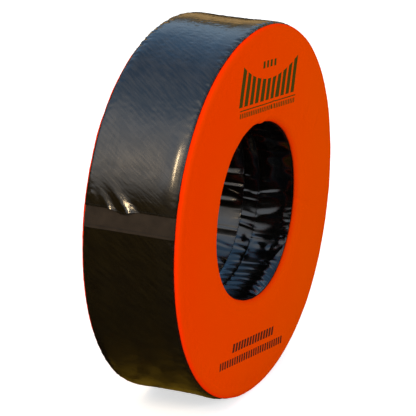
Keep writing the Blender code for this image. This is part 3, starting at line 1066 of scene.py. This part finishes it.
tread_cover, tread_grid = tread_strip(
    "tread_cover", ROOT + BEND_AFTER - TURN, TAPE[0][1] + BAND_PAST_TAPE, dipping, black_pvc,
    rows=[TAPE[0][0] + run for run in (DIP_ROUNDED, *DIP_RUN)])
flap_cover, flap_grid = tread_strip(
    "closure_flap_cover", ROOT + BEND_AFTER, free_edge(TREAD_DEPTH), flap_rise, black_pvc,
    bowed=True)
loop_strip, loop_grid = tread_strip(
    "tread_loop_strip", TAPE[0][0], TAPE[0][1], tape_rise, loop_pile, 0.0015)
hook_strip, _ = tread_strip(
    "flap_hook_strip", HOOKS[0][0] + HEM, HOOKS[0][1], lambda clock: HOOKS[1][1] - RIM, hook_nylon,
    0.001)
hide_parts("tread_band")
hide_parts("tread_flap")
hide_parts("tread_loop_tape")
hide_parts("flap_hook_tape")
print("flap", flap_grid.shape, "tread", tread_grid.shape)

# %% [markdown]
# ## The hole
# Two black linings meet in the middle of the hole, where the front one laps over the back one.
# Two rows of stitches hold the tapes there, and the cloth pillows between them. The front lining
# is much the looser: broad folds cross it, and small gathers stand along its lip.
#
# The folds in the part that the photograph shows are read off it one by one, as clock angles in
# degrees and depths or heights in millimetres. Elsewhere the simulated ones do.

# %% Folds of the linings
# A fold is start, end, height and width, and a wave is a row of (clock angle, height) points.
FRONT_FOLDS = [
    ((95.9, -136), (100.7, -16), 4.6, 8), ((107.5, -125), (115.6, -22), 2.4, 11),
    ((121.3, -98), (122.6, -20), 2.0, 10), ((126.4, -90), (127.0, -20), 2.2, 7),
    ((131.0, -118), (134.0, -92), 3.0, 8), ((132.5, -80), (131.5, -40), 2.4, 9),
    ((140.2, -150), (143.2, -85), 2.6, 5), ((148.0, -150), (143.8, -104), 2.4, 5),
    ((114.0, -144), (117.0, -118), 2.0, 4), ((118.5, -145), (120.5, -122), 2.0, 4),
    ((123.6, -146), (127.4, -104), 2.4, 5), ((129.6, -147), (138.6, -123), 2.6, 5),
    ((106.5, -146), (109.0, -124), 2.0, 4), ((87.8, -144), (90.3, -122), 2.4, 4),
    ((90.2, -60), (90.6, -34), 3.2, 6), ((90.4, -10), (89.8, 34), 3.6, 6),
    ((101.4, -36), (100.4, 10), 3.0, 6), ((99.8, 2), (100.1, 36), 2.6, 5),
    ((105.2, -36), (104.6, 38), 2.4, 5), ((115.4, -36), (114.6, 38), 2.6, 7),
    ((122.0, -36), (119.6, 34), 3.0, 7), ((130.6, -8), (130.2, 36), 3.0, 8),
    ((129.5, -34), (127.0, 4), -2.6, 8), ((137.0, -34), (134.0, 36), 3.2, 7),
    ((142.0, -36), (142.0, 38), 3.6, 9),
]
FRONT_WAVES = [(88, 0), (97, 3), (106, 5), (109, 5.4), (112, 8), (116, 5.4), (121, 0.5), (124.8, -3),
               (127.5, 5), (137.5, 3), (146, 10), (147.2, 6.5), (151.5, 10), (152.8, 6.5), (157, 10),
               (158.2, 6), (163, 10), (164.5, 5.5), (169.5, 9.5), (171, 4), (176, 7), (178, 0)]
BACK_FOLDS = [((104.2, 24), (99.4, 102), 3.0, 5), ((107.5, 42), (107.7, 150), 3.6, 10),
              ((136.0, 36), (133.0, 110), 2.0, 6), ((147.0, 30), (143.0, 110), 2.4, 8)]
BACK_WAVES = [(83.0, 0), (85.4, 0.4), (89.2, 11.4), (95.0, 1), (95.7, 0.6), (97.9, 5.2), (99.2, 4.2),
              (104.3, 1.2), (111.4, 0.6), (118, 2.4), (122.6, 4.8), (123.4, 3.8), (125, 5),
              (128.9, -1.4), (133.5, -1.4), (139, 0.6), (144, -2.4), (148, 1.6), (149, -1),
              (153.5, 2.6), (154.5, -0.5), (159, 3), (160.2, 0), (165, 3.4), (167, 0)]
print(len(FRONT_FOLDS) + len(BACK_FOLDS), "single folds")

# %% [markdown]
# A fold dies away at the lip seam, where the cloth is gathered, and at the stitched band, which
# holds it down. Low in the hole the front lining has slumped, so its folds run on to the band's
# far edge there. The back lining can't rise above the lap that covers it.

# %% Where the folds are free and where they are held
CORNER = 0.35
LIP_GATHERS = 0.122
SLUMPED_FROM, SLUMPED_OVER = 135, 3
UNDER_LAP = 0.0032


def drawn_folds(clock, depth, folds):
    total = 0
    for (c0, d0), (c1, d1), height, width in folds:
        ends = (math.radians(c0) * BORE, d0 / 1000), (math.radians(c1) * BORE, d1 / 1000)
        total = total + ridge(clock * BORE, depth, *ends, height / 1000, width / 1000)
    return total


def drawn_waves(clock, waves):
    """Waves that run straight along the axle, with their corners rounded off."""
    degrees, heights = np.array(waves).T
    return np.mean([np.interp(np.degrees(clock) + off, degrees, heights)
                    for off in np.linspace(-CORNER, CORNER, 5)], axis=0) / 1000


def front_folds(clock, depth):
    held = np.interp(depth, (-LIP_SEAM, -LIP_GATHERS, -LAP_STITCH, 0.010), (0, 1, 0.3, 0))
    slumped = np.interp(depth, (-LIP_SEAM, -LIP_GATHERS, -0.015, LAP_STITCH), (0, 1, 0.9, 0.3))
    held = held + (slumped - held) * np.clip((np.degrees(clock) - SLUMPED_FROM) / SLUMPED_OVER, 0, 1)
    return drawn_waves(clock, FRONT_WAVES) * held + drawn_folds(clock, depth, FRONT_FOLDS)


def back_folds(clock, depth):
    held = np.interp(depth, (LAP_EDGE - 0.010, LAP_EDGE, 0.118, LIP_SEAM), (0, 1, 1, 0))
    folds = (drawn_waves(clock, BACK_WAVES) + drawn_folds(clock, depth, BACK_FOLDS)) * held
    return np.where(depth < LAP_EDGE, np.minimum(folds, UNDER_LAP), folds)


print("under the lap the back lining rises by up to", UNDER_LAP * 1000, "mm")

# %% [markdown]
# Both linings are made alike: a loosened ring, the drawn folds over it, and gathers beside each
# seam. Where the photograph shows the cloth, the simulated looseness is mostly taken out, so that
# it doesn't hide the folds that were read off.

# %% Bore linings
LINING_STEP = 0.0065
BROADER = 8
SEEN_MIDDLE, SEEN_REACH = math.radians(117), math.radians(31)
SEEN_HELD = 0.85
INTO_BAND = 0.003


def lining(name, path, seams, held, excess, slack_of, seed, pressure, cap, lip_height, folds_of):
    """seams are distances along the path; held gives the columns that lie on other pieces."""
    loose, drawn = columns(seams, LINING_STEP)
    radius, depth = along(path, loose)
    points = placed(LOOSE_CLOCK, radius, depth)
    normals = normals_of(points, True, inward(points))
    sewn = np.isin(loose, np.round(seams, 5)).astype(float)
    sewn = np.maximum(sewn, held(depth).astype(float))
    move = loosened(points, normals, sewn, slack_of(depth), excess, pressure, cap, seed, BROADER)
    seen = np.exp(-((FULL_CLOCK - SEEN_MIDDLE) / SEEN_REACH) ** 4)
    move = over_columns(move, loose, drawn) * (1 - SEEN_HELD * seen)[..., None]
    radius, depth = along(path, drawn)
    points = placed(FULL_CLOCK, radius, depth) + move
    normals = normals_of(points, True, inward(points))
    away = np.abs(drawn[:, None] - np.array(seams)).min(axis=1)[None]
    push = groove(away, 0.0003) + folds_of(FULL_CLOCK, depth)
    push = push + puckers(FULL_CLOCK, drawn[None], BORE, seed, spacing=0.013,
                          height=lip_height, reach=0.016)
    for number, seam in enumerate(seams[1:]):
        push = push + puckers(FULL_CLOCK, np.abs(drawn - seam)[None], BORE, seed + 1 + number,
                              spacing=0.014, height=0.0010, reach=0.011)
    points = points + normals * push[..., None]
    cloth = sheet_of(name, points, normals_of(points, True, inward(points)), VINYL, True,
                     lining_pvc, drawn, TURN * BORE)
    return cloth, points, drawn


front_path = [(BORE, -LIP_SEAM), (LAP_RADIUS, -LAP_EDGE - INTO_BAND), (LAP_RADIUS, LAP_EDGE)]
to_first_row = path_length(front_path[:2]) + (LAP_EDGE + INTO_BAND - LAP_STITCH)
front_seams = [0, to_first_row, to_first_row + 2 * LAP_STITCH, path_length(front_path)]
front_lining, front_grid, front_drawn = lining(
    "bore_lining_front", front_path, front_seams, lambda depth: depth > LAP_STITCH - 0.001,
    excess=0.05, slack_of=lambda depth: np.where(depth < -LAP_STITCH, 1.0, 0.7), seed=71,
    pressure=1.5, cap=0.011, lip_height=0.0014, folds_of=front_folds)

back_path = [(BORE, LIP_SEAM), (BORE, LINING[2][0])]
back_seams = [0, LIP_SEAM - LAP_EDGE + 0.0005, path_length(back_path)]
back_lining, back_grid, back_drawn = lining(
    "bore_lining_back", back_path, back_seams, lambda depth: depth < LAP_EDGE + 0.0005,
    excess=0.02, slack_of=lambda depth: np.ones(depth.shape), seed=91,
    pressure=1, cap=0.006, lip_height=0.0008, folds_of=back_folds)
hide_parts("bore_panel_front")
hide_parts("bore_panel_back")
print("linings", front_grid.shape, back_grid.shape)

# %% [markdown]
# Under the lap the loop tape lies on the back lining and the hook tape under the front one. Each
# is drawn 0.2 mm inside its packed strip on both sides, so that no two cloths touch.

# %% Tapes in the hole
TAPE_CLEAR = 0.0002
TAPE_STEPS = 12


def bore_tape(name, measures, material):
    _, (low, high), (near, far) = measures
    steps = np.linspace(0, far - near, TAPE_STEPS)
    points = placed(FULL_CLOCK[::3], low + TAPE_CLEAR, near + steps)
    normals = normals_of(points, True, inward(points))
    return sheet_of(name, points, normals, high - low - 2 * TAPE_CLEAR, True, material, steps,
                    TURN * low)


bore_loop_strip = bore_tape("bore_loop_strip", BORE_LOOPS, loop_pile)
bore_hook_strip = bore_tape("bore_hook_strip", BORE_HOOKS, hook_nylon)
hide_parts("bore_loop_tape")
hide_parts("bore_hook_tape")
print("tapes in the hole:", bore_loop_strip.name, bore_hook_strip.name)

# %% [markdown]
# ## Stitches
# A heavy lockstitch shows as a row of short raised bars, each dipping into the cloth at both
# ends. One row is one piece: a small tube of five rings for each stitch, laid on the finished
# surface.

# %% Places for stitches along a seam
STITCH_PITCH = 0.0085


def resampled(line, pitch, closed):
    """Points at equal steps along a line, and the direction of the line at each."""
    if closed:
        line = np.concatenate([line, line[:1]])
    gone = np.concatenate([[0], np.cumsum(np.linalg.norm(np.diff(line, axis=0), axis=1))])
    count = int(gone[-1] / pitch)
    at = (np.arange(count) + 0.5) * gone[-1] / count

    def read(where):
        return np.stack([np.interp(where, gone, line[:, k]) for k in range(3)], axis=1)

    ahead = read(np.minimum(at + pitch / 2, gone[-1])) - read(np.maximum(at - pitch / 2, 0))
    return read(at), ahead / np.linalg.norm(ahead, axis=1, keepdims=True)


def nearest(steps, distance):
    return int(np.abs(steps - distance).argmin())


print("a stitch every", STITCH_PITCH * 1000, "mm")

# %% [markdown]
# The thread is thinnest and lowest at both ends of a stitch, where it goes into the cloth, and
# stands highest in the middle.

# %% One row of stitches
STITCH_LENGTH = 0.0066
THREAD_RADIUS = 0.0007
STITCH_SIDES = 6
# The five rings: place along the stitch, and thickness and height in radii of the thread.
RING_PLACES = (-0.5, -0.36, 0, 0.36, 0.5)
RING_SIZES = (0.45, 0.9, 1, 0.9, 0.45)
RING_RISES = (-0.8, 0.2, 0.7, 0.2, -0.8)


def stitch_row(name, line, facing, closed=True):
    """facing gives the cloth's normal at each point of the row."""
    middle, ahead = resampled(line, STITCH_PITCH, closed)
    up = facing(middle)
    up -= ahead * (up * ahead).sum(axis=1, keepdims=True)
    up /= np.linalg.norm(up, axis=1, keepdims=True)
    side = np.cross(ahead, up)
    place, thick, rise = (np.array(values)[None, :, None, None] for values in (
        RING_PLACES, RING_SIZES, RING_RISES))
    angle = np.arange(STITCH_SIDES)[None, None, :, None] * TURN / STITCH_SIDES
    middle, ahead, up, side = (v[:, None, None, :] for v in (middle, ahead, up, side))
    off = up * (rise + np.cos(angle) * thick) + side * np.sin(angle) * thick
    points = middle + ahead * place * STITCH_LENGTH + off * THREAD_RADIUS
    count, rings = points.shape[:2]
    first = np.arange(count)[:, None, None] * rings * STITCH_SIDES
    ring = np.arange(rings - 1)[None, :, None] * STITCH_SIDES
    here, after = np.arange(STITCH_SIDES), (np.arange(STITCH_SIDES) + 1) % STITCH_SIDES
    quads = np.stack([first + ring + here, first + ring + after,
                      first + ring + after + STITCH_SIDES, first + ring + here + STITCH_SIDES], axis=-1)
    start = first[:, :, 0] + here[::-1]
    ends = np.concatenate([start, start[:, ::-1] + (rings - 1) * STITCH_SIDES])
    row = mesh_of(name, points, quads.reshape(-1, 4), thread)
    caps = bmesh.new()
    caps.from_mesh(row.data)
    caps.verts.ensure_lookup_table()
    for loop in ends:
        caps.faces.new([caps.verts[k] for k in loop])
    bmesh.ops.recalc_face_normals(caps, faces=caps.faces)
    caps.to_mesh(row.data)
    caps.free()
    row.data.shade_smooth()
    return row


print("a stitch is", STITCH_LENGTH * 1000, "mm long")

# %% [markdown]
# The tread's seams are topstitched 5.5 mm from the edge and the lips 4.2 mm from it. The loop
# tape is sewn on beside its lower edge, and the flap's hem beside its free edge.

# %% Which seams are stitched
TREAD_TOPSTITCH = 0.0055
LIP_TOPSTITCH = 0.0042
front_column = nearest(TREAD_DRAWN, TREAD_TOPSTITCH)
back_column = nearest(TREAD_DRAWN, TREAD_WIDTH - TREAD_TOPSTITCH)
tread_rows = [
    stitch_row("tread_stitches_front", tread_grid[:, front_column], outward, False),
    stitch_row("tread_stitches_back", tread_grid[:, back_column], outward, False),
    stitch_row("loop_tape_stitches", loop_grid[2, 2:-2], outward, False),
]
flap_row = stitch_row("flap_edge_stitches", flap_grid[-4, 2:-2], outward, False)
bore_rows = [
    stitch_row("lap_stitches_front", front_grid[:, nearest(front_drawn, front_seams[1])], inward),
    stitch_row("lap_stitches_back", front_grid[:, nearest(front_drawn, front_seams[2])], inward),
    stitch_row("lip_stitches_front", front_grid[:, nearest(front_drawn, LIP_TOPSTITCH)], inward),
    stitch_row("lip_stitches_back", back_grid[:, nearest(back_drawn, LIP_TOPSTITCH)], inward),
]
print(len(tread_rows) + len(bore_rows) + 1, "rows of stitches")

# %% [markdown]
# ## The foam inside
# The cover's slow waves and creases would let the plain foam solids show, so each foam piece
# takes the same waves and is drawn a few millimetres smaller. The gap is the slack of a cover
# over soft foam, and nobody sees it unless the flap is open.

# %% Foam pieces
FOAM_SLACK = 0.006
CUT_CORNER = math.radians(40)
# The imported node, the foam, its slot, and the share of its box that is foam.
FOAM_PIECES = {
    "core_disc_front": ("foam_slab_front", soft_foam, "soft_foam", 0.85),
    "core_disc_middle": ("foam_slab_middle", soft_foam, "soft_foam", 0.85),
    "core_disc_back": ("foam_slab_back", soft_foam, "soft_foam", 0.85),
    "rim_wrap_foam": ("foam_rim_wrap", soft_foam, "soft_foam", 0.8),
    "bore_hoop_foam": ("foam_bore_hoop", firm_foam, "firm_foam", 0.95),
}


def foam_copy(name, node, material):
    clock, radius, depth = polar(node_points(node))
    share = (radius - CORE_INNER) / (CORE_OUTER - CORE_INNER)
    radius = CORE_INNER + FOAM_SLACK + share * (CORE_OUTER - CORE_INNER - 2 * FOAM_SLACK)
    points = placed(clock, radius, depth * (HALF - FOAM_SLACK) / HALF)
    points[:, 2] = np.maximum(points[:, 2], FOAM_SLACK)
    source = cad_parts[node].data
    piece = mesh_of(name, points, [list(face.vertices) for face in source.polygons], material)
    piece.data.shade_smooth()
    piece.data.set_sharp_from_angle(angle=CUT_CORNER)
    return piece


foam_pieces = {}
for name, (node, material, slot, fill) in FOAM_PIECES.items():
    foam_pieces[name] = foam_copy(name, node, material)
    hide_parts(node)
    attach(foam_pieces[name], "wheel")
print(len(foam_pieces), "foam pieces")

# %% [markdown]
# ## The cloths and the bodies they ride on
# The tread and the linings are cut as straight strips, and a face as a flat ring. Their flat
# sizes follow from the seams, plus the few percent by which they are loose.

# %% [markdown]
# Every cloth rides on the body under it, and its rows of stitches go with it. All ride on the
# wheel but the flap's, which ride on the flap. The flap's own cover is bent between the two
# bodies, so it rides on neither.


def sheet(piece, body="wheel", with_pieces=()):
    for each in (piece, *with_pieces):
        if each is not flap_cover:
            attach(each, body)


sheet(front_cover)
sheet(back_cover)
sheet(tread_cover, with_pieces=tread_rows[:2])
sheet(loop_strip,
      with_pieces=tread_rows[2:])
sheet(flap_cover, "closure_flap",
      with_pieces=[flap_row])
sheet(hook_strip,
      "closure_flap")
sheet(front_lining,
      with_pieces=bore_rows[:3])
sheet(back_lining,
      with_pieces=bore_rows[3:])
sheet(bore_loop_strip)
sheet(bore_hook_strip)
print("10 sheets, with", len((*tread_rows, flap_row, *bore_rows)), "rows of stitches")

# %% [markdown]
# ## The flap's root
# The flap is the free end of one long band, so it has no hinge. Where it leaves the wheel the
# cloth bends over 26 mm. Its cover is baked in place.

# %% The flap's root
def on_tread(clock):
    return Vector(placed(np.array(clock), RIM, 0.0))


on_tread(ROOT - 0.016 / RIM)
on_tread(ROOT + 0.010 / RIM)
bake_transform(flap_cover)
print("the flap's root is at", [round(v, 3) for v in on_tread(ROOT)])

# %% [markdown]
# ## Floor, sky and lights
# The wheel stands on a plain pale floor against white. The floor gives off some light of its own
# to the camera, so that only the shade under the wheel shows on it.

# %% Floor
FLOOR_SIZE = 60
FLOOR_BELOW = 0.0005

floor_paint, tree, shader = finish("floor_paint", 0.9, specular=0)
shader.inputs["Base Color"].default_value = linear("#e6e6e6")
corners = [(-1, -1), (1, -1), (1, 1), (-1, 1)]
floor = mesh_of("floor", [(x * FLOOR_SIZE, y * FLOOR_SIZE, 0) for x, y in corners],
                [(0, 1, 2, 3)], floor_paint)
floor.location.z = -FLOOR_BELOW
print("floor", 2 * FLOOR_SIZE, "m across")

# %% [markdown]
# Glossy cloth shows what is round it, so its reflections find a warm field under the wheel. The
# field darkens away from the wheel, and more behind it, where the wheel's shadow is painted on
# it. It has tufts of grass 71 mm across. Only glossy rays see it.

# %% The field in the gloss
TUFT = 0.071429

place = add(tree, "TexCoord", output="Object")
away = add(tree, "VectorMath", (place,), output="Value", operation="LENGTH")
tufts = add(tree, "TexNoise", {"Vector": place, "Scale": 1 / TUFT, "Detail": 3})
tufts = add(tree, "Math", (tufts, 1.6, -0.8), operation="MULTIPLY_ADD")
away = add(tree, "Math", (away, tufts), operation="ADD")
away = add(tree, "MapRange", {"Value": away, "From Min": 0.2, "From Max": 0.75})
behind = add(tree, "SeparateXYZ", (place,), output="Y")
# Darker behind the wheel: a painted shadow of the wheel on the field.
shaded = add(tree, "MapRange", {"Value": behind, "From Min": 0.24, "From Max": 0.34})
away = add(tree, "Math", (away, shaded), operation="ADD")
ground = add(tree, "ValToRGB", (away,), stops=[(0.0, "#7b6019"), (0.5, "#4c380f"), (1.0, "#100c06")])
glow = add(tree, "Emission", {"Color": ground, "Strength": 1.0})
white = add(tree, "Emission", {"Color": (1, 1, 1, 1), "Strength": 0.62})
lit = add(tree, "AddShader", (white, shader.outputs[0]))
to_camera, glossy = (add(tree, "LightPath", output=f"Is {ray} Ray") for ray in ("Camera", "Glossy"))
seen = add(tree, "MixShader", (to_camera, shader.outputs[0], lit))
mixed = add(tree, "MixShader", (glossy, seen, glow))
tree.links.new(mixed, tree.nodes["Material Output"].inputs["Surface"])
print("field with tufts of", round(TUFT * 1000), "mm")

# %% [markdown]
# The sky that the cloth mirrors runs from a pale blue round to a bright haze on the far side,
# over a dark line of trees and a dry field. The colours lie along a ramp from +X to -X.

# %% Sky
LAND_TOP = 0.33
TREE_FOOT, TREE_FULL = LAND_TOP - 0.165, LAND_TOP - 0.115

world = bpy.data.worlds.new("sky")
world.use_nodes = True
scene.world = world
tree = world.node_tree
direction = add(tree, "TexCoord", output="Generated")
side, height = (add(tree, "SeparateXYZ", (direction,), output=axis) for axis in "XZ")
toward_sun = add(tree, "Math", (side, -0.5, 0.5), operation="MULTIPLY_ADD")
sky = add(tree, "ValToRGB", (toward_sun,), stops=[
    (0.085, "#9fbdd8"), (0.18, "#6c9ac6"), (0.36, "#5c85af"), (0.6, "#86acd2"), (0.72, "#d0e0f4"),
    (0.86, "#e4e7ec"), (0.93, "#999a9c")])
field = add(tree, "ValToRGB", (toward_sun,), stops=[(0.1, "#a98959"), (0.4, "#4c4228"), (0.8, "#1d180f")])
trees = add(tree, "ValToRGB", (toward_sun,), stops=[(0.1, "#4c4124"), (0.4, "#3a3420"), (0.8, "#1a160e")])
edge = add(tree, "MapRange", {"Value": height, "From Min": TREE_FOOT, "From Max": TREE_FULL})
land = add(tree, "Mix", {0: edge, 6: field, 7: trees}, output=2, data_type="RGBA")
above = add(tree, "MapRange", {"Value": height, "From Min": LAND_TOP - 0.01,
                               "From Max": LAND_TOP + 0.01})
around = add(tree, "Mix", {0: above, 6: land, 7: sky}, output=2, data_type="RGBA")
plain = tree.nodes["Background"]
plain.inputs["Color"].default_value = linear("#d8dce0")
mirrored = add(tree, "Background", {"Color": around, "Strength": 2.0})
white = add(tree, "Background", {"Color": (1, 1, 1, 1), "Strength": 1.0})
to_camera, glossy = (add(tree, "LightPath", output=f"Is {ray} Ray") for ray in ("Camera", "Glossy"))
shiny = add(tree, "MixShader", (glossy, plain.outputs[0], mirrored))
seen = add(tree, "MixShader", (to_camera, shiny, white))
tree.links.new(seen, tree.nodes["World Output"].inputs["Surface"])
print("trees stand", round(math.degrees(math.asin(LAND_TOP))), "degrees above the ground")

# %% [markdown]
# A broad soft lamp lights the face and makes no glint of its own. A tall warm strip behind the
# wheel's left draws the glints on the folds.

# %% Lamps
def soft_box(name, direction, distance, wide, tall, watts, colour="#ffffff"):
    """A lamp that aims at the wheel's middle, distance metres away."""
    light = bpy.data.lights.new(name, "AREA")
    light.shape = "ELLIPSE"
    light.size, light.size_y = wide, tall
    light.energy = watts
    light.color = linear(colour)[:3]
    lamp = bpy.data.objects.new(name, light)
    scene.collection.objects.link(lamp)
    aim = Vector(direction).normalized()
    lamp.location = Vector((0, 0, AXLE_Z)) + aim * distance
    lamp.rotation_mode = "QUATERNION"
    lamp.rotation_quaternion = aim.to_track_quat("Z", "Y")
    return lamp


key_light = soft_box("key_light", (-0.35, -0.9, 0.45), 10, 3, 3, 322)
key_light.visible_glossy = False
strip_light = soft_box("strip_light", (-0.77, 0.2, 0.60), 6, 0.42, 1.9, 130, "#ffdfae")
print("lamps:", key_light.name, strip_light.name)
